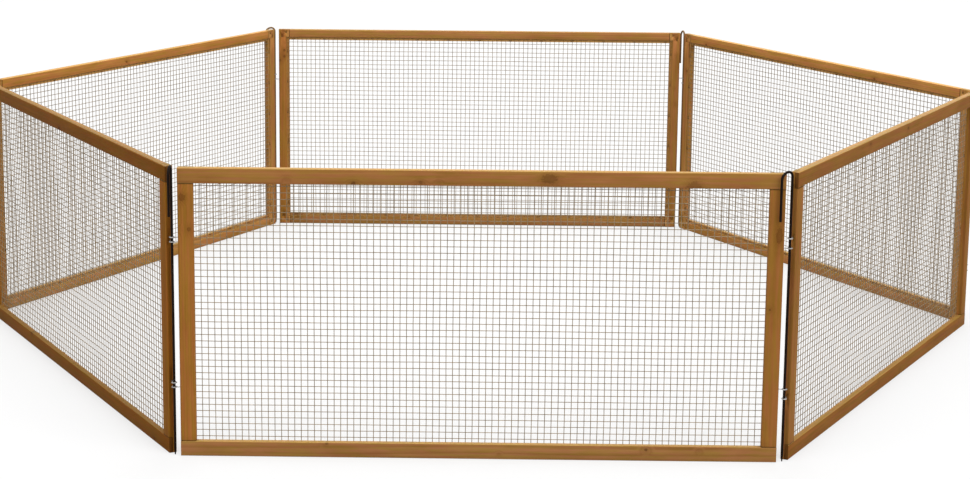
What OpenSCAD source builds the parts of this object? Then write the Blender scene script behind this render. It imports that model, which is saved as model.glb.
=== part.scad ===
/* [Panels] */
// Length of one panel, from end to end
panel_len = 1150; // [900:5:1300]
// Height of one panel
panel_h = 568; // [480:1:700]
// Face width of the battens that make a frame
batten_w = 30; // [28:1:40]
// Thickness of the battens, and of the whole panel
batten_t = 16; // [14:0.5:20]
// Chamfer along the long edges of every batten
edge_chamfer = 1; // [0.4:0.1:1.5]

/* [Rebate and welded mesh] */
// Width of the rebate round the opening, cut from the inner face
rebate_w = 8; // [7:0.5:10]
// Depth of the rebate
rebate_d = 4; // [3.6:0.1:5]
// Pitch of the welded mesh, the same both ways
mesh_pitch = 12.7; // [10:0.1:26]
// Diameter of the mesh wire
wire_d = 1.25; // [0.7:0.05:1.25]
// Space kept between the cut edge of the mesh and the rebate's wall
sheet_gap = 1; // [0.6:0.1:1.5]
// Meshes from one staple to the next
staple_every = 7; // [4:1:10]

/* [Corner rods] */
// Diameter of the steel rods
rod_d = 5; // [4:0.5:6]
// Distance from a rod's axis to the end of each panel that it joins
hinge_gap = 12; // [11:0.5:16]
// Height of the hook's top above the panels' top edge
hook_rise = 6; // [2:0.5:12]
// Distance between the rod and the short leg of its hook, on centres
hook_w = 26; // [24:1:36]
// Radius of the hook's bend on the rod's side; the wider bend to the short leg takes the rest
rod_bend_r = 10; // [7:0.5:12]
// Length of the hook, from its top to the end of the short leg
hook_len = 97; // [60:1:110]
// Length of the rod's point
rod_point = 14; // [8:1:24]

/* [Screw eyes] */
// Clear bore of an eye
eye_bore = 6.6; // [6.4:0.1:8]
// Diameter of the wire that an eye is made of
eye_wire = 2.2; // [2:0.1:3]
// Distance of the right-hand eyes from the panel's top and bottom edges
eye_drop = 145; // [110:1:180]
// Length of an eye's shank inside the wood
eye_shank = 18; // [10:1:24]

/* [Hidden] */
SIDES = ["front", "right_front", "right_back", "back", "left_back", "left_front"];
PIECES = ["top_rail", "bottom_rail", "left_stile", "right_stile", "mesh", "staples",
          "corner_nails", "eyes"];
RODS = ["front_right_rod", "right_rod", "back_right_rod", "back_left_rod", "left_rod",
        "front_left_rod"];

// How far above the right-hand eyes each panel's left-hand eyes sit, in the order of SIDES.
// Neighbouring rings share a rod, so the step keeps them apart.
EYE_STEPS = [9, 19, 14, 14, 14, 14];
// The way each rod's short leg points, seen from above, in the order of RODS
HOOK_TURNS = [213, 0, 105, 180, 180, 267];

$fn = 48;
cut = 1;                             // overrun of a cut past the face that it opens
fit = 0.03;                          // radial clearance of what is driven into wood
lap_t = batten_t / 2;                // half-lap: rails outside, stiles inside
side_angle = 60;
side_len = panel_len + 2 * hinge_gap;
apothem = side_len * sin(side_angle);

open_l = panel_len - 2 * batten_w;
open_h = panel_h - 2 * batten_w;
mid_z = panel_h / 2;
shoulder_y = batten_t / 2 - rebate_d;

// The welded mesh: upright wires lie on the rebate's shoulder, level wires over them
layer_gap = 0.02;
reach_w = rebate_w - sheet_gap;
mesh_cols = floor((open_l + 2 * reach_w - wire_d) / mesh_pitch);
mesh_rows = floor((open_h + 2 * reach_w - wire_d) / mesh_pitch);
upright_y = shoulder_y + layer_gap + wire_d / 2;
level_y = upright_y + wire_d + layer_gap;

// Staples that hold the mesh in the rebate
staple_wire = 1.2;
staple_w = 8;
staple_leg = 6;                      // length of a leg inside the wood
staple_y = level_y + wire_d / 2 + layer_gap;
staples_up = floor(mesh_rows / 2 / staple_every + 0.5);
staples_along = floor(mesh_cols / 2 / staple_every);
// Half distances between the rows of staples on the rails, and between those on the stiles
rail_staple_z = open_h / 2 + 2.94;
stile_staple_x = open_l / 2 + 4.48;

// Nails through each half-lap, driven from the inner face
nail_d = 1.8;
nail_head_d = 3.4;
nail_head_t = 0.6;
nail_len = 13;
nail_spread = 6;

rod_top = panel_h + hook_rise - rod_d / 2;   // centre line of the hook at its highest
leg_bend_r = hook_w - rod_bend_r;
point_d = 1.6;                       // blunt end of the rod's point

wood = "#9a6530";
zinc = "#c3c6c8";
dark_steel = "#2b2523";

// ---- places -------------------------------------------------------------------------

// Puts a panel drawn upright on the X axis, outer face towards -Y, on one side of the run
module on_side(i) {
    rotate([0, 0, side_angle * i])
        translate([0, -apothem, 0]) children();
}

// Puts a rod drawn on the Z axis in the corner after side i, with its hook turned
module in_corner(i) {
    rotate([0, 0, side_angle * (i - 1)])
        translate([side_len, 0, 0])
            rotate([0, 0, HOOK_TURNS[i] - side_angle * (i - 1)]) children();
}

// Puts its children at both ends of a panel, the second one mirrored
module at_both_ends() {
    for (s = [0, 1]) mirror([s, 0, 0]) children();
}

// Puts its children at the lower edge and, mirrored, at the upper edge of a panel
module at_both_edges() {
    translate([0, 0, mid_z])
        for (s = [0, 1]) mirror([0, 0, s]) translate([0, 0, -mid_z]) children();
}

// ---- battens ------------------------------------------------------------------------

// Section of a batten with eased corners, its face width along Y
module batten_section() {
    t = batten_t / 2;
    c = edge_chamfer;
    polygon([[-t + c, 0], [t - c, 0], [t, c], [t, batten_w - c],
             [t - c, batten_w], [-t + c, batten_w], [-t, batten_w - c], [-t, c]]);
}

// A batten along X, centred, standing on edge with its lower edge at z = 0
module batten(length) {
    rotate([90, 0, 90])
        linear_extrude(length, center = true) batten_section();
}

// Holes for the nails of one lower corner, at the right-hand end
module corner_nail_holes() {
    for (s = [-1, 1])
        at_nail(s) {
            translate([0, 0, nail_head_t - nail_len - fit])
                cylinder(d = nail_d + 2 * fit, h = nail_len);
            cylinder(d = nail_head_d + 2 * fit, h = nail_head_t + cut);
        }
}

// Turns the Z axis out of the inner face, at the underside of a nail's head
module at_nail(s) {
    translate([panel_len / 2 - batten_w / 2 + s * nail_spread,
               batten_t / 2 - nail_head_t,
               batten_w / 2 + s * nail_spread])
        rotate([-90, 0, 0]) children();
}

// The rail that lies along the bottom of a panel
module bottom_batten() {
    color(wood)
    difference() {
        batten(panel_len);
        at_both_ends() {
            translate([panel_len / 2 - batten_w, 0, -cut])
                cube([batten_w + cut, batten_t, batten_w + 2 * cut]);
            corner_nail_holes();
        }
        translate([-panel_len / 2, shoulder_y, batten_w - rebate_w])
            cube([panel_len, batten_t, rebate_w + cut]);
        rail_staples(fit);
    }
}

module bottom_rail() {
    bottom_batten();
}

module top_rail() {
    translate([0, 0, panel_h]) mirror([0, 0, 1]) bottom_batten();
}

// The upright at the right-hand end; drop is the distance of its eyes from each edge
module end_batten(drop) {
    color(wood)
    difference() {
        translate([panel_len / 2, 0, mid_z])
            rotate([0, -90, 0]) batten(panel_h);
        at_both_edges() {
            translate([panel_len / 2 - batten_w - cut, -batten_t, -cut])
                cube([batten_w + 2 * cut, batten_t, batten_w + cut]);
            corner_nail_holes();
            eye_hole(drop);
        }
        translate([open_l / 2 - cut, shoulder_y, batten_w - rebate_w])
            cube([rebate_w + cut, batten_t, open_h + 2 * rebate_w]);
        stile_staples(fit);
    }
}

module right_stile() {
    end_batten(eye_drop);
}

module left_stile(i) {
    mirror([1, 0, 0]) end_batten(eye_drop - EYE_STEPS[i]);
}

// ---- welded mesh --------------------------------------------------------------------

module mesh() {
    color(zinc) {
        for (i = [0 : mesh_cols])
            translate([(i - mesh_cols / 2) * mesh_pitch, upright_y, mid_z])
                cylinder(d = wire_d, h = open_h + 2 * reach_w, center = true);
        for (j = [0 : mesh_rows])
            translate([0, level_y, mid_z + (j - mesh_rows / 2) * mesh_pitch])
                rotate([0, 90, 0])
                    cylinder(d = wire_d, h = open_l + 2 * reach_w, center = true);
    }
}

// ---- fasteners ----------------------------------------------------------------------

// A staple across a wire that runs along Z; grow widens it into the holes for its legs
module staple(grow = 0) {
    leg_y = shoulder_y - staple_leg - grow;
    for (s = [-1, 1])
        translate([s * (staple_w - staple_wire) / 2 - staple_wire / 2 - grow,
                   leg_y, -staple_wire / 2 - grow])
            cube([staple_wire + 2 * grow, staple_y + staple_wire - leg_y,
                  staple_wire + 2 * grow]);
    translate([-staple_w / 2 - grow, staple_y, -staple_wire / 2 - grow])
        cube([staple_w + 2 * grow, staple_wire, staple_wire + 2 * grow]);
}

// Staples in the lower rail, each across an upright wire
module rail_staples(grow = 0) {
    middle = mesh_cols % 2 == 0 ? 0 : mesh_pitch / 2;
    for (i = [-staples_along : staples_along])
        translate([middle + i * staple_every * mesh_pitch, 0, mid_z - rail_staple_z])
            staple(grow);
}

// Staples in the right-hand stile, each across a level wire
module stile_staples(grow = 0) {
    middle = mesh_rows % 2 == 0 ? 0 : mesh_pitch / 2;
    first = staple_every * mesh_pitch / 2 - middle;
    for (i = [-staples_up : staples_up - 1])
        translate([stile_staple_x, 0,
                   mid_z + middle + first + (i * staple_every) * mesh_pitch])
            rotate([0, 90, 0]) staple(grow);
}

module staples() {
    color(zinc) {
        at_both_edges() rail_staples();
        at_both_ends() stile_staples();
    }
}

module corner_nails() {
    color(zinc)
    at_both_ends() at_both_edges()
        for (s = [-1, 1])
            at_nail(s) {
                translate([0, 0, nail_head_t - nail_len])
                    cylinder(d = nail_d, h = nail_len);
                cylinder(d = nail_head_d, h = nail_head_t);
            }
}

// ---- screw eyes ---------------------------------------------------------------------

module eye_hole(drop) {
    translate([panel_len / 2 - eye_shank - fit, 0, drop])
        rotate([0, 90, 0]) cylinder(d = eye_wire + 2 * fit, h = eye_shank + cut);
}

// One eye at the right-hand end, its ring round the rod's axis
module eye(drop) {
    ring_r = (eye_bore + eye_wire) / 2;
    translate([panel_len / 2 + hinge_gap, 0, drop]) {
        rotate_extrude() translate([ring_r, 0]) circle(d = eye_wire);
        translate([-hinge_gap - eye_shank, 0, 0])
            rotate([0, 90, 0])
                cylinder(d = eye_wire, h = hinge_gap + eye_shank - ring_r);
    }
}

module eyes(i) {
    color(zinc) {
        at_both_edges() eye(eye_drop);
        mirror([1, 0, 0]) at_both_edges() eye(eye_drop - EYE_STEPS[i]);
    }
}

// ---- rods ---------------------------------------------------------------------------

// A quarter bend of the hook in the XZ plane, from angle start, round the origin
module quarter_bend(radius, start) {
    rotate([90, 0, 0])
        rotate([0, 0, start])
            rotate_extrude(angle = 90) translate([radius, 0]) circle(d = rod_d);
}

// A rod on the Z axis with its short leg towards +X
module hooked_rod() {
    leg_end = panel_h + hook_rise - hook_len;
    color(dark_steel) {
        cylinder(d1 = point_d, d2 = rod_d, h = rod_point);
        translate([0, 0, rod_point])
            cylinder(d = rod_d, h = rod_top - rod_bend_r - rod_point);
        translate([rod_bend_r, 0, rod_top - rod_bend_r])
            quarter_bend(rod_bend_r, 90);
        translate([rod_bend_r, 0, rod_top - leg_bend_r])
            quarter_bend(leg_bend_r, 0);
        translate([hook_w, 0, leg_end])
            cylinder(d = rod_d, h = rod_top - leg_bend_r - leg_end);
    }
}

// ---- the nodes ----------------------------------------------------------------------

for (i = [0 : len(SIDES) - 1]) {
    s = SIDES[i];
    on_side(i) top_rail();
    on_side(i) bottom_rail();
    on_side(i) left_stile(i);
    on_side(i) right_stile();
    on_side(i) mesh();
    on_side(i) staples();
    on_side(i) corner_nails();
    on_side(i) eyes(i);
}
for (i = [0 : len(RODS) - 1])
    in_corner(i) hooked_rod();
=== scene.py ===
import math
import random

import bmesh
import bpy
from mathutils import Matrix, Vector, noise


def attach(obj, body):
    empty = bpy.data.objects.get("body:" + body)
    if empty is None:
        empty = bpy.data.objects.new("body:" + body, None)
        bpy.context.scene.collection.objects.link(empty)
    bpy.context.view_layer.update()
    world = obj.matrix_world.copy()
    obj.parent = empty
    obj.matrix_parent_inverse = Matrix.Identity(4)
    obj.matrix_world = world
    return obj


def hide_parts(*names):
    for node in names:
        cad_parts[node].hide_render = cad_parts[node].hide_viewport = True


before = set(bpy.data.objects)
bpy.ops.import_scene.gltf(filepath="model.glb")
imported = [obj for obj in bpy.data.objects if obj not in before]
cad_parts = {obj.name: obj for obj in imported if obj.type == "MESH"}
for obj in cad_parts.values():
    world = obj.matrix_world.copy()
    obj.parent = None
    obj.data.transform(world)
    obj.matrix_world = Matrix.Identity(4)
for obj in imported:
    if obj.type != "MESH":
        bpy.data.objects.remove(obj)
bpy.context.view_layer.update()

noise.seed_set(3)                    # so that every run comes out the same

# ---- sizes of the run, in metres ------------------------------------------------------

SIDES = ("front", "right_front", "right_back", "back", "left_back", "left_front")
PANEL_L = 1.150
PANEL_H = 0.568
BATTEN_W = 0.030
BATTEN_T = 0.016
HINGE_GAP = 0.012                    # from a panel's end to the rod's axis
SIDE_LEN = PANEL_L + 2 * HINGE_GAP
APOTHEM = SIDE_LEN * math.sin(math.radians(60))
OPEN_L = PANEL_L - 2 * BATTEN_W
OPEN_H = PANEL_H - 2 * BATTEN_W
MID_Z = PANEL_H / 2

PIECES = ("top_rail", "bottom_rail", "left_stile", "right_stile")
REBATE_SIDE = 0.0069                 # the rebate lies past this, from the middle of the face
REBATE_FLOOR = 0.0036                # and past this, from the middle of the thickness
SOFT_EDGE = 0.0003                   # how far a batten's arrises are rounded
SLICE = 0.045                        # how far apart a batten is cut across to be made uneven
SHRINK, UNEVEN = 0.992, 0.008        # share of its true thickness, and how much that changes
UNEVEN_WAVES = 6                     # per metre

PITCH = 0.0127                       # of the welded mesh
COLS, ROWS = 86, 41                  # meshes along and up a panel
WIRE_R = 0.0007
NUGGET = (0.00090, 0.00095, 0.00090)
SHEET_REACH = 0.007                  # how far the sheet runs on behind the opening's edge
UPRIGHT_Y, LEVEL_Y = 0.004645, 0.005915
WIRE_PART = 0.05                     # about how far apart a wire's bends are
SWAYS = ((4, 0.0012), (23, 0.0003))  # waves of a slack sheet per metre, and how far they reach
SWAY_FREE = 0.05                     # from its edge, where a sheet is free to sway

STAPLE_W = 0.008
STAPLE_LEG = 0.005
STAPLE_BEND_R = 0.0009
STAPLE_WIRE_R = 0.0006
STAPLE_Y = 0.00716                   # middle of a staple's crown
RAIL_STAPLES = [7 * PITCH * i for i in range(-6, 7)]
STILE_STAPLES = [MID_Z + PITCH * (3.5 + 7 * i) for i in range(-3, 3)]
RAIL_STAPLE_Z = OPEN_H / 2 + 0.00294
STILE_STAPLE_X = OPEN_L / 2 + 0.00448

NAIL_STEP = 0.006                    # of a corner's two nails from its middle, both ways
NAIL_PROFILE = ((0, 0.00012), (0.0011, 0.00010), (0.00155, 0.00002), (0.0017, -0.00015),
                (0.0017, -0.00045), (0.00155, -0.0006), (0.0009, -0.0006),
                (0.0009, -0.0115), (0.0, -0.0124))          # radius and height over the wood

EYE_WIRE_R, EYE_RING_R, EYE_SHANK = 0.0011, 0.0044, 0.018
EYE_NECK = 0.0004                    # between a ring and its own neck
EYE_DROP = 0.145                     # of the eyes from the edges, at each panel's right end
EYE_STEPS = (0.009, 0.019, 0.014, 0.014, 0.014, 0.014)      # nearer at its left end by this

ROD_R = 0.0025
ROD_POINT = ((0.0, 0.34), (0.0006, 0.42), (0.004, 0.62), (0.009, 0.84), (0.013, 0.97),
             (0.015, 1.0))           # height and share of the rod's radius
ROD_STRAIGHT = [0.05 * n for n in range(1, 11)]
ROD_BEND_R, HOOK_W = 0.010, 0.026
LEG_BEND_R = HOOK_W - ROD_BEND_R
HOOK_TOP, HOOK_LEN = 0.5715, 0.097
RODS = (("front_right_rod", 213), ("right_rod", 0), ("back_right_rod", 105),
        ("back_left_rod", 180), ("left_rod", 180), ("front_left_rod", 267))  # where hooks point

X_AXIS, Y_AXIS, Z_AXIS = Vector((1, 0, 0)), Vector((0, 1, 0)), Vector((0, 0, 1))


def turned(degrees, axis):
    """A turn about one of the axes."""
    return Matrix.Rotation(math.radians(degrees), 4, axis)


def on_side(i):
    """From a panel drawn upright along X, outer face to -Y, to its place in the ring."""
    return turned(60 * i, "Z") @ Matrix.Translation((0, -APOTHEM, 0))


# ---- shader maths ---------------------------------------------------------------------

class Value:
    """An output of a shader node. Arithmetic on it adds Math nodes."""

    def __init__(self, finish, socket):
        self.finish = finish
        self.socket = socket

    def math(self, operation, *rest):
        return self.finish.math(operation, self, *rest)

    def __add__(self, other): return self.math("ADD", other)
    def __sub__(self, other): return self.math("SUBTRACT", other)
    def __mul__(self, other): return self.math("MULTIPLY", other)
    def __truediv__(self, other): return self.math("DIVIDE", other)
    def __rsub__(self, other): return self.finish.math("SUBTRACT", other, self)
    def __rtruediv__(self, other): return self.finish.math("DIVIDE", other, self)
    __radd__ = __add__
    __rmul__ = __mul__

    def size(self):
        """The value without its sign."""
        return self.math("ABSOLUTE")

    def step(self, low, high):
        """0 below low, 1 above high and a smooth ramp between them."""
        return self.finish.node("MapRange", {"interpolation_type": "SMOOTHSTEP"},
                                Value=self, From_Min=low, From_Max=high)

    def limit(self):
        """The value, kept between 0 and 1."""
        return self.finish.math("ADD", self, 0.0, use_clamp=True)


class Finish:
    """The shader of a material, or of the world, under construction."""

    def __init__(self, owner, shader="Principled BSDF"):
        owner.use_nodes = True
        self.owner = owner
        self.tree = owner.node_tree
        self.shader = self.tree.nodes[shader]

    def node(self, kind, settings=None, output=0, **inputs):
        """Adds a shader node, sets it up, fills its inputs and returns one output."""
        made = self.tree.nodes.new("ShaderNode" + kind)
        for key, value in (settings or {}).items():
            setattr(made, key, value)
        for key, value in inputs.items():
            self.feed(self.find(made, key), value)
        return Value(self, made.outputs[output])

    @staticmethod
    def find(made, key):
        """The enabled input with that name, or the one with that number after in_."""
        if key.startswith("in_"):
            return made.inputs[int(key[3:])]
        name = key.replace("_", " ")
        return next(s for s in made.inputs if s.name == name and s.enabled)

    def feed(self, socket, value):
        """Links a value to an input, or writes a plain number or colour on it."""
        if isinstance(value, Value):
            self.tree.links.new(value.socket, socket)
        else:
            socket.default_value = value

    def math(self, operation, *terms, use_clamp=False):
        return self.node("Math", {"operation": operation, "use_clamp": use_clamp},
                         **{f"in_{k}": t for k, t in enumerate(terms)})

    def vector(self, operation, *terms, output=0):
        return self.node("VectorMath", {"operation": operation}, output,
                         **{f"in_{k}": t for k, t in enumerate(terms)})

    def scaled(self, colour, share):
        """A colour, darker or lighter by a value."""
        return self.node("VectorMath", {"operation": "SCALE"}, in_0=colour, in_3=share)

    def split(self, vector):
        parts = self.node("SeparateXYZ", Vector=vector).socket.node
        return [Value(self, o) for o in parts.outputs]

    def join(self, x, y, z):
        return self.node("CombineXYZ", X=x, Y=y, Z=z)

    def attribute(self, name, output="Vector"):
        return self.node("Attribute", {"attribute_name": name}, output)

    def place(self):
        """Where a point is on the piece at rest."""
        return self.node("TexCoord", output="Object")

    def noise(self, vector, scale, detail=2.0, roughness=0.5):
        return self.node("TexNoise", output="Fac", Vector=vector, Scale=scale,
                         Detail=detail, Roughness=roughness)

    def mix(self, factor, low, high, blend="MIX"):
        """A mix of two colours."""
        made = self.node("Mix", {"data_type": "RGBA", "blend_type": blend}).socket.node
        for name, value in (("Factor", factor), ("A", low), ("B", high)):
            live = [s for s in made.inputs if s.name == name and s.enabled]
            if name != "Factor" and not isinstance(value, Value):
                value = (*value, 1.0)
            self.feed(live[0], value)
        return Value(self, next(o for o in made.outputs if o.enabled))

    def set(self, **inputs):
        """Sets the shader's own sockets."""
        for key, value in inputs.items():
            if isinstance(value, tuple):
                value = (*value, 1.0)
            self.feed(self.find(self.shader, key), value)

    def bump(self, height, strength, distance):
        self.set(Normal=self.node("Bump", output="Normal", Height=height,
                                  Strength=strength, Distance=distance))


# ---- finishes -------------------------------------------------------------------------

# Knots listed one by one: batten, distance along it from its middle, height on its face, radius,
# stretch along the grain and how dark it is
KNOTS = (("front_top_rail", -0.2413, -0.0115, 0.0030, 1.2, 0.90),
         ("front_top_rail", -0.1142, -0.0085, 0.0028, 1.2, 0.50),
         ("front_top_rail", 0.1291, 0.0010, 0.0092, 1.5, 0.62),
         ("front_top_rail", 0.4028, -0.0130, 0.0105, 1.3, 0.42),
         ("front_bottom_rail", 0.3233, 0.0076, 0.0024, 1.3, 1.00),
         ("front_left_stile", 0.2274, -0.0063, 0.0062, 1.1, 0.60),
         ("front_right_stile", 0.1640, 0.0052, 0.0058, 2.4, 0.62),
         ("front_right_stile", 0.0200, -0.0076, 0.0016, 1.2, 0.90),
         ("back_bottom_rail", 0.5210, 0.0095, 0.0045, 1.4, 0.85),
         ("back_bottom_rail", 0.3900, 0.0085, 0.0025, 1.3, 0.60),
         ("back_right_stile", 0.2238, -0.0010, 0.0030, 1.3, 0.80),
         ("back_right_stile", 0.2060, -0.0010, 0.0030, 1.3, 0.80),
         ("back_right_stile", 0.1944, 0.0120, 0.0030, 1.3, 0.60),
         ("right_back_top_rail", 0.4710, -0.0045, 0.0028, 1.3, 0.90),
         ("right_back_top_rail", -0.2393, -0.0035, 0.0030, 1.3, 0.85),
         ("right_back_right_stile", 0.1782, -0.0015, 0.0026, 1.3, 0.90),
         ("left_front_top_rail", -0.0400, -0.0125, 0.0050, 1.2, 1.20))
# How light and how faded each batten is, in the order of PIECES. The lightness is partly each
# batten's own tone and partly painted light and shade for its panel: darkest on left_front,
# lightest on right_back
STAIN_AND_LIGHT = {"front": ((0.97, 0.81), (0.93, 0.96), (0.93, 0.43), (0.88, 0.54)),
         "right_front": ((0.80, 0.56), (0.74, 0.38), (0.87, 0.65), (0.82, 0.52)),
         "right_back": ((1.30, 0.77), (1.05, 0.82), (1.25, 0.82), (0.98, 0.85)),
         "back": ((0.91, 0.85), (0.76, 0.96), (0.87, 0.73), (0.82, 0.54)),
         "left_back": ((1.12, 0.65), (0.94, 0.85), (0.95, 0.89), (0.77, 0.30)),
         "left_front": ((0.55, 0.00), (0.51, 0.00), (0.63, 0.15), (0.75, 0.15))}
# Which way the rebate lies from the middle of the face, and how strongly it is painted as lighter
# bare wood, standing in for the light that reaches into it: most on the top rails
REBATE_LIGHT = {"top_rail": (-1, 1.0), "bottom_rail": (1, 0.15), "left_stile": (1, 0.4),
        "right_stile": (-1, 0.4)}
START = {}                           # where each batten sits in the tree that it is cut from

STAINED, STAINED_DEEP = (0.400, 0.188, 0.043), (0.222, 0.086, 0.015)
# painted light in the rebates, drawn as pale bare wood
LIT_REBATE, LIT_REBATE_DEEP = (0.640, 0.370, 0.125), (0.430, 0.225, 0.062)
TINTS = (1.08, 0.94, 1.18), (0.95, 1.03, 0.80)              # redder and yellower streaks
FRESH, FADED = (1.03, 0.85, 0.30), (0.99, 1.08, 1.50)
KNOT_HALO, KNOT_SWIRL = (0.200, 0.078, 0.013), (0.110, 0.040, 0.008)
KNOT_RIM, KNOT_HEART = (0.080, 0.027, 0.006), (0.125, 0.043, 0.009)
END_GRAIN = (0.105, 0.040, 0.008)
# painted highlight along the arrises
ARRIS_HIGHLIGHT = (0.47, 0.245, 0.075)
SEAM = (0.050, 0.018, 0.004)
# painted highlight for the faces that look up
TOP_HIGHLIGHT = (0.80, 0.60, 0.16)
WIRE_STAIN = (0.38, 0.21, 0.075)
# painted light for the rods at the back
BACK_ROD_LIGHT = (0.270, 0.155, 0.065)
SCUFF = (0.070, 0.055, 0.042)

KNOT_CELLS = 26.0                    # places for a knot, per metre
KNOT_EDGE = (-0.0006, 0.0005)
SWIRL_WIDTH = 0.0017                 # of the rings inside and round a knot
RING_WIDTH = 0.0042                  # of a year's growth


def stained_wood():
    """Sawn softwood under a thin orange-brown stain, with rings, streaks and knots."""
    f = Finish(bpy.data.materials.new("stained_wood"))
    grain = f.attribute("grain")
    u, v, w = f.split(grain)
    along, side, depth = f.split(f.attribute("place"))
    tone_and_light, stile, faded = f.split(f.attribute("batten"))
    end = f.attribute("cut_end", "Fac")
    top = f.attribute("upward", "Fac")

    def grained(stretch, detail=2.0, roughness=0.5):
        """Noise that follows the grain: how fine it is along, across and through the batten."""
        return f.noise(f.vector("MULTIPLY", grain, stretch), 1.0, detail, roughness)

    # knots: round columns through the batten, some at random and some from a list
    ragged = (grained((500.0, 700.0, 150.0)) - 0.5) * 0.0022
    cells = f.node("TexVoronoi", {"voronoi_dimensions": "2D", "feature": "F1"}, "Distance",
                   Vector=f.join(u * 0.8, v, 0.0), Scale=KNOT_CELLS)
    chance, darkness, _ = f.split(Value(f, cells.socket.node.outputs["Color"]))
    near = cells / KNOT_CELLS
    gap = near - (chance - 0.955) * 0.075 + ragged
    knot = (1.0 - gap.step(*KNOT_EDGE)) * (0.45 + darkness * 0.5)
    torn = grained((260.0, 420.0, 80.0), 3.0, 0.7) - 0.5
    for name, at, height, radius, stretch, dark in KNOTS:
        start = START[name]
        away = f.vector("DISTANCE", f.join(u / stretch, v, 0.0),
                        ((start[0] + at) / stretch, start[1] + height, 0.0), output="Value")
        near = f.math("MINIMUM", near, away)
        here = away - radius + torn * (radius * 2.0) + ragged
        knot = f.math("MAXIMUM", knot, (1.0 - here.step(*KNOT_EDGE)) * dark)
        gap = f.math("MINIMUM", gap, here)
    rim = 1.0 - (gap + 0.0002).size().step(0.0002, 0.0011)
    halo = 1.0 - gap.step(-0.002, 0.013)
    swirl = f.math("FRACT", near / SWIRL_WIDTH + ragged * 270.0).step(0.25, 0.9)

    # growth rings round the pith, which wander along the trunk and swing round the knots
    wander = grained((1.1, 11.0, 11.0)) - 0.5
    from_pith = f.math("SQRT", v * v + w * w) + wander * 0.012 + halo * 0.0065 + u * 0.003
    phase = f.math("FRACT", from_pith / RING_WIDTH)
    late = phase.step(0.30, 0.88) * (1.0 - phase.step(0.92, 1.0))
    clear = grained((0.9, 45.0, 45.0))
    late = late * (clear.step(0.32, 0.72) * 0.8 + 0.2)

    # fibres, streaks of stain and slow blotches
    fibre = grained((12.0, 1000.0, 1000.0), 3.0, 0.6)
    streak = grained((2.2, 150.0, 150.0), 3.0, 0.55)
    blotch = grained((9.0, 30.0, 30.0), 3.0, 0.6)
    hue = grained((14.0, 150.0, 150.0))
    soak = (late * 0.30 + (streak - 0.5) * 0.75 + (blotch - 0.5) * 0.85
            + (fibre - 0.5) * 0.28 + 0.40).limit()
    colour = f.mix(soak, STAINED, STAINED_DEEP)
    colour = f.mix(1.0, colour, f.mix(hue.step(0.32, 0.68), *TINTS), "MULTIPLY")
    colour = f.mix(halo * 0.30, colour, KNOT_HALO)
    colour = f.mix(halo * swirl * 0.22, colour, KNOT_SWIRL)
    colour = f.mix(rim * (0.12 + knot * 0.6), colour, KNOT_RIM)
    colour = f.mix(knot * (0.72 + swirl * 0.2), colour, KNOT_HEART)

    # each batten has its own depth of stain, and its tone also carries its panel's painted light
    # and shade; the faces inside the run are painted 28% lighter, standing in for the light on
    # them
    outer = 1.0 - depth.step(-0.2, 0.1)
    colour = f.scaled(colour, tone_and_light * (1.28 - outer * 0.28))
    colour = f.mix(1.0, colour, f.mix(faded, FRESH, FADED), "MULTIPLY")
    # painted light: the rebates are mixed toward pale bare wood, standing in for the light that
    # reaches into them
    colour = f.mix(f.attribute("rebate_light", "Fac"), colour, f.mix(soak, LIT_REBATE, LIT_REBATE_DEEP))

    # end grain drinks more stain, and the arrises get a painted highlight, standing in for the
    # light they catch
    colour = f.mix(end * 0.72, colour, END_GRAIN)
    arris = f.math("MINIMUM", side.size(), depth.size())
    arris_highlight = arris.step(0.84, 0.97) * (1.0 - end) * blotch.step(0.35, 0.7)
    colour = f.mix(arris_highlight * 0.35, colour, ARRIS_HIGHLIGHT)

    # the dark line where a stile meets the rails, outside on stiles and inside on rails
    reach = along.size()
    at_stile_lap = reach.step(OPEN_H / 2 - 0.0020, OPEN_H / 2 - 0.0006)
    at_rail_lap = reach.step(OPEN_L / 2 - 0.0020, OPEN_L / 2 - 0.0004)
    seam = (stile * outer * at_stile_lap + (1.0 - stile) * (1.0 - outer) * at_rail_lap).limit()
    colour = f.mix(seam * 0.9, colour, SEAM)

    # faces that look up get a painted highlight, a mix toward a pale colour that stands in for
    # the sheen from above, and a thin coat
    colour = f.mix(top * (0.15 + blotch * 0.13), colour, f.scaled(TOP_HIGHLIGHT, tone_and_light))

    f.set(Base_Color=colour, Coat_Weight=top * 0.12, Coat_Roughness=0.40,
          Roughness=0.66 - late * 0.08 + (fibre - 0.5) * 0.18 + end * 0.12,
          Specular_IOR_Level=0.05)
    f.bump(late * 0.35 + fibre * 0.55 + streak * 0.35 - knot * 0.25, 0.55, 0.00022)
    return f.owner


def zinc(name, light, dark, rough, grain_size, metal):
    """Zinc with a faint spangle and duller patches. metal is how metallic its clean skin looks.

    A sheet's wires took stain where they lie over the battens; other pieces have no place on
    a sheet, and so no stain.
    """
    f = Finish(bpy.data.materials.new(name))
    at = f.place()
    x, z, _ = f.split(f.attribute("on_sheet"))
    beyond = f.math("MAXIMUM", x.size() - OPEN_L / 2, z.size() - OPEN_H / 2)
    stain = beyond.step(-0.0005, 0.0005)
    patch = f.noise(at, 1.0 / (grain_size * 9), 3.0, 0.6)
    cells = f.node("TexVoronoi", {"feature": "F1"}, "Color", Vector=at, Scale=1.0 / grain_size)
    spangle = f.split(cells)[0]
    dull = (patch.step(0.35, 0.70) * 0.65 + (spangle - 0.5) * 0.30 + 0.15).limit()
    f.set(Base_Color=f.mix(stain, f.mix(dull, light, dark), WIRE_STAIN),
          Metallic=(1.0 - stain) * metal, Specular_IOR_Level=0.05,
          Roughness=(rough + dull * 0.22 + (spangle - 0.5) * 0.08).limit())
    f.bump(f.noise(at, 1800.0, 3.0, 0.6), 0.25, 0.00008)
    return f.owner


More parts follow.
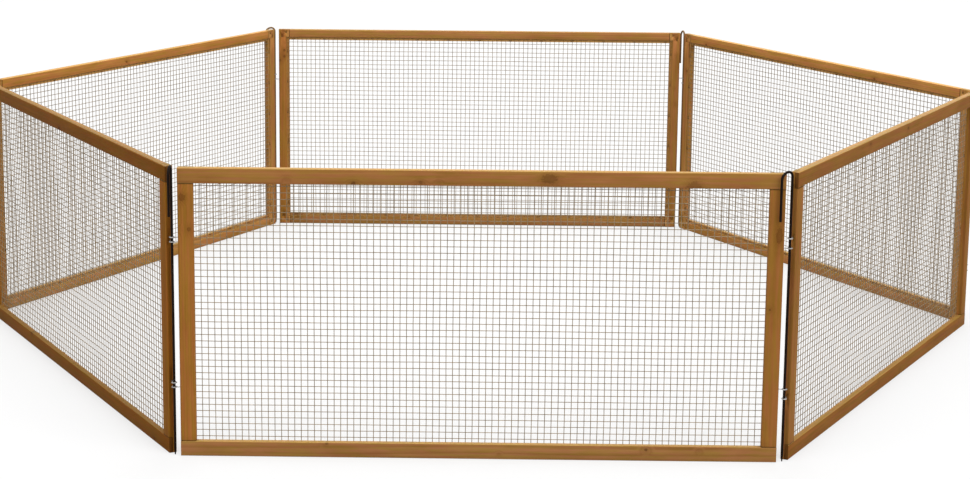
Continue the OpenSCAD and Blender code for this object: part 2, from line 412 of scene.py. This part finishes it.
def dark_steel():
    """Round steel with a thin dark coat, a little scuffed; the back rods are painted a lighter
    brown, which stands in for the light on them.
    """
    f = Finish(bpy.data.materials.new("dark_steel"))
    at = f.place()
    x, y, z = f.split(at)
    fine = f.noise(f.join(x * 900.0, y * 900.0, z * 60.0), 1.0, 3.0, 0.6)
    patch = f.noise(at, 55.0, 3.0, 0.6)
    worn = (fine.step(0.60, 0.78) * patch.step(0.48, 0.66)).limit()
    coat = f.mix(patch, (0.005, 0.003, 0.002), (0.011, 0.006, 0.004))
    # painted light: the rods at the back are mixed toward a lighter brown
    coat = f.mix(y.step(0.3, 0.9) * (0.6 + patch * 0.4), coat, BACK_ROD_LIGHT)
    f.set(Base_Color=f.mix(worn * 0.5, coat, SCUFF), Metallic=worn * 0.5,
          Roughness=0.42 + patch * 0.2, Specular_IOR_Level=0.05)
    f.bump(f.noise(at, 1400.0, 3.0, 0.6), 0.2, 0.00008)
    return f.owner


# ---- making pieces --------------------------------------------------------------------

def finished(name, bm, material, body, node, smooth=40):
    """Turns a bmesh into a piece of the run that stands for a CAD node."""
    mesh = bpy.data.meshes.new(name)
    bm.to_mesh(mesh)
    bm.free()
    mesh.shade_smooth()
    mesh.set_sharp_from_angle(angle=math.radians(smooth))
    mesh.materials.append(material)
    piece = bpy.data.objects.new(name, mesh)
    bpy.context.scene.collection.objects.link(piece)
    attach(piece, body)
    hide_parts(node)
    return piece


def panel_piece(i, name, bm, material, node, smooth=40):
    """A finished piece of one of the six panels."""
    side = SIDES[i]
    return finished(f"{side}_{name}", bm, material, f"{side}_panel", f"{side}_{node}",
                    smooth)


def mark_points(piece, name, vectors):
    """Keeps a vector at each vertex of a piece, for its material."""
    layer = piece.data.attributes.new(name, "FLOAT_VECTOR", "POINT")
    layer.data.foreach_set("vector", [c for vector in vectors for c in vector])


def mark_faces(piece, name, values):
    """Keeps a number at each face of a piece, for its material."""
    piece.data.attributes.new(name, "FLOAT", "FACE").data.foreach_set("value", values)


def wire_mesh(points, radius, sides=3, thinner=None):
    """A mesh of round wire along a path. thinner: share of the radius, by a point's number."""
    curve = bpy.data.curves.new("wire", "CURVE")
    curve.dimensions = "3D"
    curve.bevel_depth = radius
    curve.bevel_resolution = sides
    curve.use_fill_caps = True
    line = curve.splines.new("POLY")
    line.points.add(len(points) - 1)
    for k, (point, place) in enumerate(zip(line.points, points)):
        point.co = (*place, 1.0)
        point.radius = (thinner or {}).get(k, 1.0)
    holder = bpy.data.objects.new("wire", curve)
    mesh = bpy.data.meshes.new_from_object(holder)
    bpy.data.objects.remove(holder)
    bpy.data.curves.remove(curve)
    return mesh


def arc(centre, radius, start, end, steps, plane):
    """Points on an arc in a plane given by its two axes, angles in degrees."""
    a, b = plane
    turns = [math.radians(start + (end - start) * k / steps) for k in range(steps + 1)]
    return [centre + a * (radius * math.cos(t)) + b * (radius * math.sin(t)) for t in turns]


def add_copy(bm, mesh, matrix):
    """Adds a mesh to a bmesh, moved by a matrix."""
    before = len(bm.verts)
    bm.from_mesh(mesh)
    bm.verts.ensure_lookup_table()
    bmesh.ops.transform(bm, matrix=matrix, verts=bm.verts[before:])


def edges_from(bm, first):
    """The edges among a bmesh's vertices from a number on, in the same order at each run."""
    bm.verts.ensure_lookup_table()
    return list(dict.fromkeys(e for v in bm.verts[first:] for e in v.link_edges))


def repeat(bm, first, count, step):
    """Copies all that was added to a bmesh from a vertex number on, count - 1 times."""
    edges = edges_from(bm, first)
    verts = bm.verts[first:]
    geom = verts + edges + list(dict.fromkeys(f for v in verts for f in v.link_faces))
    for k in range(1, count):
        made = bmesh.ops.duplicate(bm, geom=geom)["geom"]
        bmesh.ops.translate(bm, vec=step * k,
                            verts=[g for g in made if isinstance(g, bmesh.types.BMVert)])


# ---- battens --------------------------------------------------------------------------

def is_rail(piece):
    return piece.endswith("rail")


def batten_frame(piece):
    """The matrix from a panel to a batten's own axes: along, up its face and through it."""
    if is_rail(piece):
        middle = BATTEN_W / 2 if piece == "bottom_rail" else PANEL_H - BATTEN_W / 2
        return Matrix(((1, 0, 0, 0), (0, 0, 1, -middle), (0, 1, 0, 0), (0, 0, 0, 1)))
    x = (PANEL_L - BATTEN_W) / 2 * (1 if piece == "right_stile" else -1)
    return Matrix(((0, 0, 1, -MID_Z), (1, 0, 0, -x), (0, 1, 0, 0), (0, 0, 0, 1)))


def soften(bm):
    """Joins the loose triangles of a CAD batten and rounds its arrises."""
    bmesh.ops.remove_doubles(bm, verts=bm.verts, dist=0.000005)
    bmesh.ops.dissolve_limit(bm, angle_limit=math.radians(0.5), verts=bm.verts, edges=bm.edges)
    crisp = [e for e in bm.edges if len(e.link_faces) == 2 and e.calc_length() > 0.006
             and e.calc_face_angle() > math.radians(40)]
    bmesh.ops.bevel(bm, geom=crisp, offset=SOFT_EDGE, offset_type="OFFSET", segments=2,
                    profile=0.5, affect="EDGES", material=-1, clamp_overlap=True)


def slice_across(bm, length):
    """Cuts a batten across again and again, so that it can be uneven along its length."""
    for k in range(1, int(length / SLICE)):
        everything = bm.verts[:] + bm.edges[:] + bm.faces[:]
        bmesh.ops.bisect_plane(bm, geom=everything, dist=0.00001,
                               plane_co=(-length / 2 + SLICE * k, 0, 0), plane_no=(1, 0, 0))
    bmesh.ops.triangulate(bm, faces=[f for f in bm.faces if len(f.verts) > 4])


def in_rebate(face, toward):
    """Whether a face of a batten is in its rebate, which lies toward -1 or 1 on its face."""
    middle = face.calc_center_median()
    return (middle.y * toward > REBATE_SIDE and middle.z > REBATE_FLOOR
            and abs(face.normal.x) < 0.5)


def batten(i, piece):
    """A batten cut from its CAD node, with softened edges and the unevenness of sawn wood."""
    node = f"{SIDES[i]}_{piece}"
    rng = random.Random(node)
    to_own = batten_frame(piece) @ on_side(i).inverted()
    bm = bmesh.new()
    bm.from_mesh(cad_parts[node].data)
    bmesh.ops.transform(bm, matrix=to_own, verts=bm.verts)
    soften(bm)
    slice_across(bm, PANEL_L if is_rail(piece) else PANEL_H)

    # the pith lies beside the batten, never inside it, and each batten has its own stretch
    pith = rng.uniform(0.012, 0.055)
    turn = rng.uniform(-math.pi, math.pi)
    start = (len(START) * 3.1 + 2.0, pith * math.sin(turn),
             pith * math.cos(turn) + math.copysign(0.012, math.cos(turn)))
    START[node] = start

    # what the material needs to know, taken before the batten is made uneven
    places = [v.co.copy() for v in bm.verts]
    cut_end = [float(abs(f.normal.x) > 0.8) for f in bm.faces]
    turn_in = to_own.to_3x3()
    up = turn_in @ Z_AXIS * turn_in.determinant()          # a rail's own axes are mirrored
    upward = [float(f.normal.dot(up) > 0.7) for f in bm.faces]
    toward, level = REBATE_LIGHT[piece]
    rebate_light = [level if in_rebate(f, toward) else 0.0 for f in bm.faces]
    # the tone carries the batten's own tone and its panel's painted light and shade
    tone_and_light, faded = STAIN_AND_LIGHT[SIDES[i]][PIECES.index(piece)]
    stile = 0.0 if is_rail(piece) else 1.0

    for v in bm.verts:
        change = noise.noise_vector((v.co.x * UNEVEN_WAVES, start[0], 0)) * UNEVEN
        v.co.y *= SHRINK + change.y
        v.co.z *= SHRINK + change.z
    bmesh.ops.transform(bm, matrix=to_own.inverted(), verts=bm.verts)
    made = panel_piece(i, piece + "_batten", bm, None, piece, smooth=30)
    mark_points(made, "grain",
                [(p.x + start[0], p.y + start[1], p.z + start[2]) for p in places])
    mark_points(made, "place",
                [(p.x, p.y / (BATTEN_W / 2), p.z / (BATTEN_T / 2)) for p in places])
    mark_points(made, "batten", [(tone_and_light, stile, faded)] * len(places))
    mark_faces(made, "cut_end", cut_end)
    mark_faces(made, "rebate_light", rebate_light)
    mark_faces(made, "upward", upward)
    return made


# ---- welded mesh ----------------------------------------------------------------------

def sheet_sway(at, seed):
    """How far the sheet is off its true place: nothing at its stapled edges."""
    inset = min(OPEN_L / 2 - abs(at.x), OPEN_H / 2 - abs(at.z - MID_Z))
    hold = min(max(inset / SWAY_FREE, 0.0), 1.0)
    sway = Vector()
    for n, (waves, reach) in enumerate(SWAYS):
        sway += noise.noise_vector((at.x * waves, seed + 9 * n, at.z * waves)) * reach
    return sway * hold * hold * (3 - 2 * hold)


def add_wires(bm, count, length, apart, turn, y):
    """Adds the parallel wires of a sheet, drawn upright and then turned."""
    first = apart * (-(count - 1) / 2) + Vector((0, y, MID_Z))
    seen = len(bm.verts)
    bmesh.ops.create_cone(bm, cap_ends=True, cap_tris=False, segments=8,
                          radius1=WIRE_R, radius2=WIRE_R, depth=length,
                          matrix=Matrix.Translation(first) @ turn)
    long_edges = [e for e in edges_from(bm, seen) if e.calc_length() > length / 2]
    bmesh.ops.subdivide_edges(bm, edges=long_edges, cuts=round(length / WIRE_PART))
    repeat(bm, seen, count, apart)


def welded_mesh(i, material):
    """One sheet: upright wires, level wires laid over them, and a nugget at each weld."""
    bm = bmesh.new()
    add_wires(bm, COLS + 1, OPEN_H + 2 * SHEET_REACH, X_AXIS * PITCH, Matrix.Identity(4),
              UPRIGHT_Y)
    add_wires(bm, ROWS + 1, OPEN_L + 2 * SHEET_REACH, Z_AXIS * PITCH, turned(90, "Y"), LEVEL_Y)
    corner = Vector((-COLS / 2 * PITCH, (UPRIGHT_Y + LEVEL_Y) / 2, MID_Z - ROWS / 2 * PITCH))
    seen = len(bm.verts)
    bmesh.ops.create_icosphere(bm, subdivisions=1, radius=1.0,
                               matrix=Matrix.Translation(corner) @ Matrix.Diagonal((*NUGGET, 1)))
    repeat(bm, seen, COLS + 1, X_AXIS * PITCH)
    repeat(bm, seen, ROWS + 1, Z_AXIS * PITCH)
    flat = [(v.co.x, v.co.z - MID_Z, 0.0) for v in bm.verts]
    for v in bm.verts:
        v.co += sheet_sway(v.co, i * 13.7)
    bmesh.ops.transform(bm, matrix=on_side(i), verts=bm.verts)
    made = panel_piece(i, "welded_mesh", bm, material, "mesh")
    mark_points(made, "on_sheet", flat)
    return made


# ---- fasteners ------------------------------------------------------------------------

def staples(i, material):
    """Round-wire staples over the mesh in the rebate, none quite straight."""
    half, bend = STAPLE_W / 2 - STAPLE_WIRE_R, STAPLE_BEND_R
    plane = (X_AXIS, Y_AXIS)
    path = ([Vector((-half, -STAPLE_LEG, 0))]
            + arc(Vector((-half + bend, -bend, 0)), bend, 180, 90, 3, plane)
            + arc(Vector((half - bend, -bend, 0)), bend, 90, 0, 3, plane)
            + [Vector((half, -STAPLE_LEG, 0))])
    staple = wire_mesh(path, STAPLE_WIRE_R, 2)
    seats = [((x, STAPLE_Y, MID_Z + s * RAIL_STAPLE_Z), 0) for x in RAIL_STAPLES for s in (-1, 1)]
    seats += [((s * STILE_STAPLE_X, STAPLE_Y, z), 90) for z in STILE_STAPLES for s in (-1, 1)]
    rng = random.Random("staples" + SIDES[i])
    bm = bmesh.new()
    for seat, turn in seats:
        lean = turned(turn + rng.uniform(-5, 5), "Y")
        tip = turned(rng.uniform(-4, 4), "Z")
        add_copy(bm, staple, on_side(i) @ Matrix.Translation(seat) @ lean @ tip)
    return panel_piece(i, "wire_staples", bm, material, "staples")


def one_nail():
    """A nail with a flat, slightly dished head, standing on its point along Z."""
    bm = bmesh.new()
    line = [bm.verts.new((radius, 0, height)) for radius, height in NAIL_PROFILE]
    edges = [bm.edges.new(pair) for pair in zip(line, line[1:])]
    bmesh.ops.spin(bm, geom=line + edges, cent=(0, 0, 0), axis=(0, 0, 1), steps=16,
                   angle=math.radians(360), use_merge=True)
    bmesh.ops.remove_doubles(bm, verts=bm.verts, dist=0.000002)
    bmesh.ops.recalc_face_normals(bm, faces=bm.faces)
    mesh = bpy.data.meshes.new("nail")
    bm.to_mesh(mesh)
    bm.free()
    return mesh


def corner_nails(i, material):
    """Two nails through the half-lap at each corner of a panel."""
    nail = one_nail()
    bm = bmesh.new()
    for s in (-1, 1):
        for up in (-1, 1):
            for k in (-1, 1):
                x = s * (PANEL_L / 2 - BATTEN_W / 2 + k * NAIL_STEP)
                z = MID_Z + up * (MID_Z - BATTEN_W / 2 - k * NAIL_STEP)
                seat = Matrix.Translation((x, BATTEN_T / 2, z))
                add_copy(bm, nail, on_side(i) @ seat @ turned(-90, "X"))
    bpy.data.meshes.remove(nail)
    return panel_piece(i, "nails", bm, material, "corner_nails")


def screw_eyes(i, material):
    """Screw eyes: wire bent round into a ring that stops just short of its own neck."""
    neck = -EYE_RING_R - EYE_NECK
    path = [Vector((-HINGE_GAP - EYE_SHANK + 0.001, 0, 0)), Vector((neck - 0.0012, 0, 0)),
            Vector((neck - 0.0003, -0.0002, 0))]
    path += arc(Vector((0, 0, 0)), EYE_RING_R, 190, 190 + 332, 40, (X_AXIS, Y_AXIS))
    eye = wire_mesh(path, EYE_WIRE_R, 3, {0: 0.4, len(path) - 1: 0.86})
    bm = bmesh.new()
    for s, drop in ((1, EYE_DROP), (-1, EYE_DROP - EYE_STEPS[i])):
        for z in (drop, PANEL_H - drop):
            seat = Matrix.Translation((s * (PANEL_L / 2 + HINGE_GAP), 0, z))
            add_copy(bm, eye, on_side(i) @ seat @ turned(0 if s > 0 else 180, "Z"))
    return panel_piece(i, "screw_eyes", bm, material, "eyes")


def rod(k, material):
    """A straight rod, pointed below, bent over into a hook above."""
    name, turn = RODS[k]
    plane = (X_AXIS, Z_AXIS)
    leg_end = HOOK_TOP + ROD_R - HOOK_LEN
    path = [Vector((0, 0, z)) for z, _ in ROD_POINT]
    path += [Vector((0, 0, z)) for z in ROD_STRAIGHT]
    path += arc(Vector((ROD_BEND_R, 0, HOOK_TOP - ROD_BEND_R)), ROD_BEND_R, 180, 90, 14, plane)
    path += arc(Vector((ROD_BEND_R, 0, HOOK_TOP - LEG_BEND_R)), LEG_BEND_R, 90, 0, 18, plane)[1:]
    path += [Vector((HOOK_W, 0, leg_end + rise)) for rise in (0.03, 0.0004, 0.0)]
    thinner = {n: share for n, (_, share) in enumerate(ROD_POINT)}
    thinner[len(path) - 1] = 0.84
    corner = turned(60 * (k - 1), "Z") @ Vector((SIDE_LEN, 0, 0))
    bm = bmesh.new()
    add_copy(bm, wire_mesh(path, ROD_R, 6, thinner),
             Matrix.Translation(corner) @ turned(turn, "Z"))
    return finished(name + "_steel", bm, material, name, name)


# ---- the run --------------------------------------------------------------------------

def build_run():
    """Every piece of the run, side by side and corner by corner."""
    # the wood comes after its battens, because the knots need to know where each one starts
    battens = [batten(i, piece) for i in range(len(SIDES)) for piece in PIECES]
    wood = stained_wood()
    for made in battens:
        made.data.materials[0] = wood
    wire = zinc("galvanised_mesh", (0.31, 0.232, 0.145), (0.20, 0.150, 0.092), 0.50, 0.004, 0.35)
    dull = zinc("stained_fixings", (0.20, 0.105, 0.038), (0.10, 0.048, 0.016), 0.48, 0.0016, 0.4)
    bright = zinc("galvanised_eyes", (0.42, 0.41, 0.40), (0.25, 0.24, 0.225), 0.38, 0.0016, 0.85)
    steel = dark_steel()
    for i in range(len(SIDES)):
        welded_mesh(i, wire)
        staples(i, dull)
        corner_nails(i, dull)
        screw_eyes(i, bright)
    for k in range(len(RODS)):
        rod(k, steel)


# ---- floor, light and camera ----------------------------------------------------------

FLOOR_REACH = 30.0
FLOOR_SEEN = 0.64                    # glow of the floor for the camera, besides the lamps' light
WALL_SEEN, WALL_LIGHT = 1.0, 0.33    # the walls as the camera sees them, and as they light things
# name, how bright it makes a white face that looks at it, and where it shines from
LAMPS = (("key", 0.62, (0.58, -0.58, 0.60)), ("fill", 0.36, (-0.58, -0.58, 0.60)),
         ("back", 0.34, (0.1, 1.0, 0.75)), ("top", 0.46, (0.0, -0.1, 1.0)))


def seen_directly(f):
    """1 for rays from the camera, a mirror or glass, 0 for light that falls on things."""
    rays = f.node("LightPath").socket.node
    camera, mirror, glass = [Value(f, rays.outputs[name]) for name in
                             ("Is Camera Ray", "Is Glossy Ray", "Is Transmission Ray")]
    return (camera + mirror + glass).limit()


def pale_floor():
    """A plain floor that looks white and still takes the run's shadow."""
    f = Finish(bpy.data.materials.new("pale_floor"))
    f.set(Base_Color=(0.25, 0.25, 0.25), Roughness=1.0, Specular_IOR_Level=0.0,
          Emission_Color=f.mix(seen_directly(f), (0.0, 0.0, 0.0), (FLOOR_SEEN,) * 3),
          Emission_Strength=1.0)
    bm = bmesh.new()
    bmesh.ops.create_grid(bm, x_segments=2, y_segments=2, size=FLOOR_REACH)
    mesh = bpy.data.meshes.new("floor")
    bm.to_mesh(mesh)
    bm.free()
    mesh.materials.append(f.owner)
    floor = bpy.data.objects.new("floor", mesh)
    floor.location.z = -0.0005
    bpy.context.scene.collection.objects.link(floor)


def light_the_run():
    """Soft lights from the front corners, from behind and above, and pale walls all round."""
    world = bpy.data.worlds.new("studio")
    bpy.context.scene.world = world
    f = Finish(world, "Background")
    f.set(Color=f.mix(seen_directly(f), (WALL_LIGHT,) * 3, (WALL_SEEN,) * 3))
    for name, power, toward in LAMPS:
        lamp = bpy.data.lights.new(name, "SUN")
        lamp.energy = power * math.pi
        lamp.angle = math.radians(50)
        holder = bpy.data.objects.new(name, lamp)
        holder.rotation_euler = (-Vector(toward)).to_track_quat("-Z", "Y").to_euler()
        bpy.context.scene.collection.objects.link(holder)


def place_camera():
    """The photograph's viewpoint, solved from 109 points measured on the run."""
    wide, high = 970.0, 479.0                              # the photograph, in pixels
    focal, centre_x, centre_y = 2045.3, 453.6, 130.0       # in the same pixels
    eye = Vector((-0.01848, -4.8035, 1.32527))
    yaw, pitch, roll = -0.0091, -0.1779, 0.0085            # in radians
    ahead = Vector((math.sin(yaw) * math.cos(pitch), math.cos(yaw) * math.cos(pitch),
                    math.sin(pitch)))
    level = Vector((math.cos(yaw), -math.sin(yaw), 0))
    upward = level.cross(ahead)
    right = level * math.cos(roll) + upward * math.sin(roll)
    up = -level * math.sin(roll) + upward * math.cos(roll)
    data = bpy.data.cameras.new("camera")
    data.sensor_width = 36.0
    data.lens = data.sensor_width * focal / wide
    data.shift_x = (wide / 2 - centre_x) / wide
    data.shift_y = (centre_y - high / 2) / wide
    camera = bpy.data.objects.new("camera", data)
    turn = Matrix((right, up, -ahead)).transposed().to_4x4()
    camera.matrix_world = Matrix.Translation(eye) @ turn
    bpy.context.scene.collection.objects.link(camera)
    bpy.context.scene.camera = camera


place_camera()
pale_floor()
light_the_run()
build_run()
bpy.context.scene.view_settings.view_transform = "Standard"
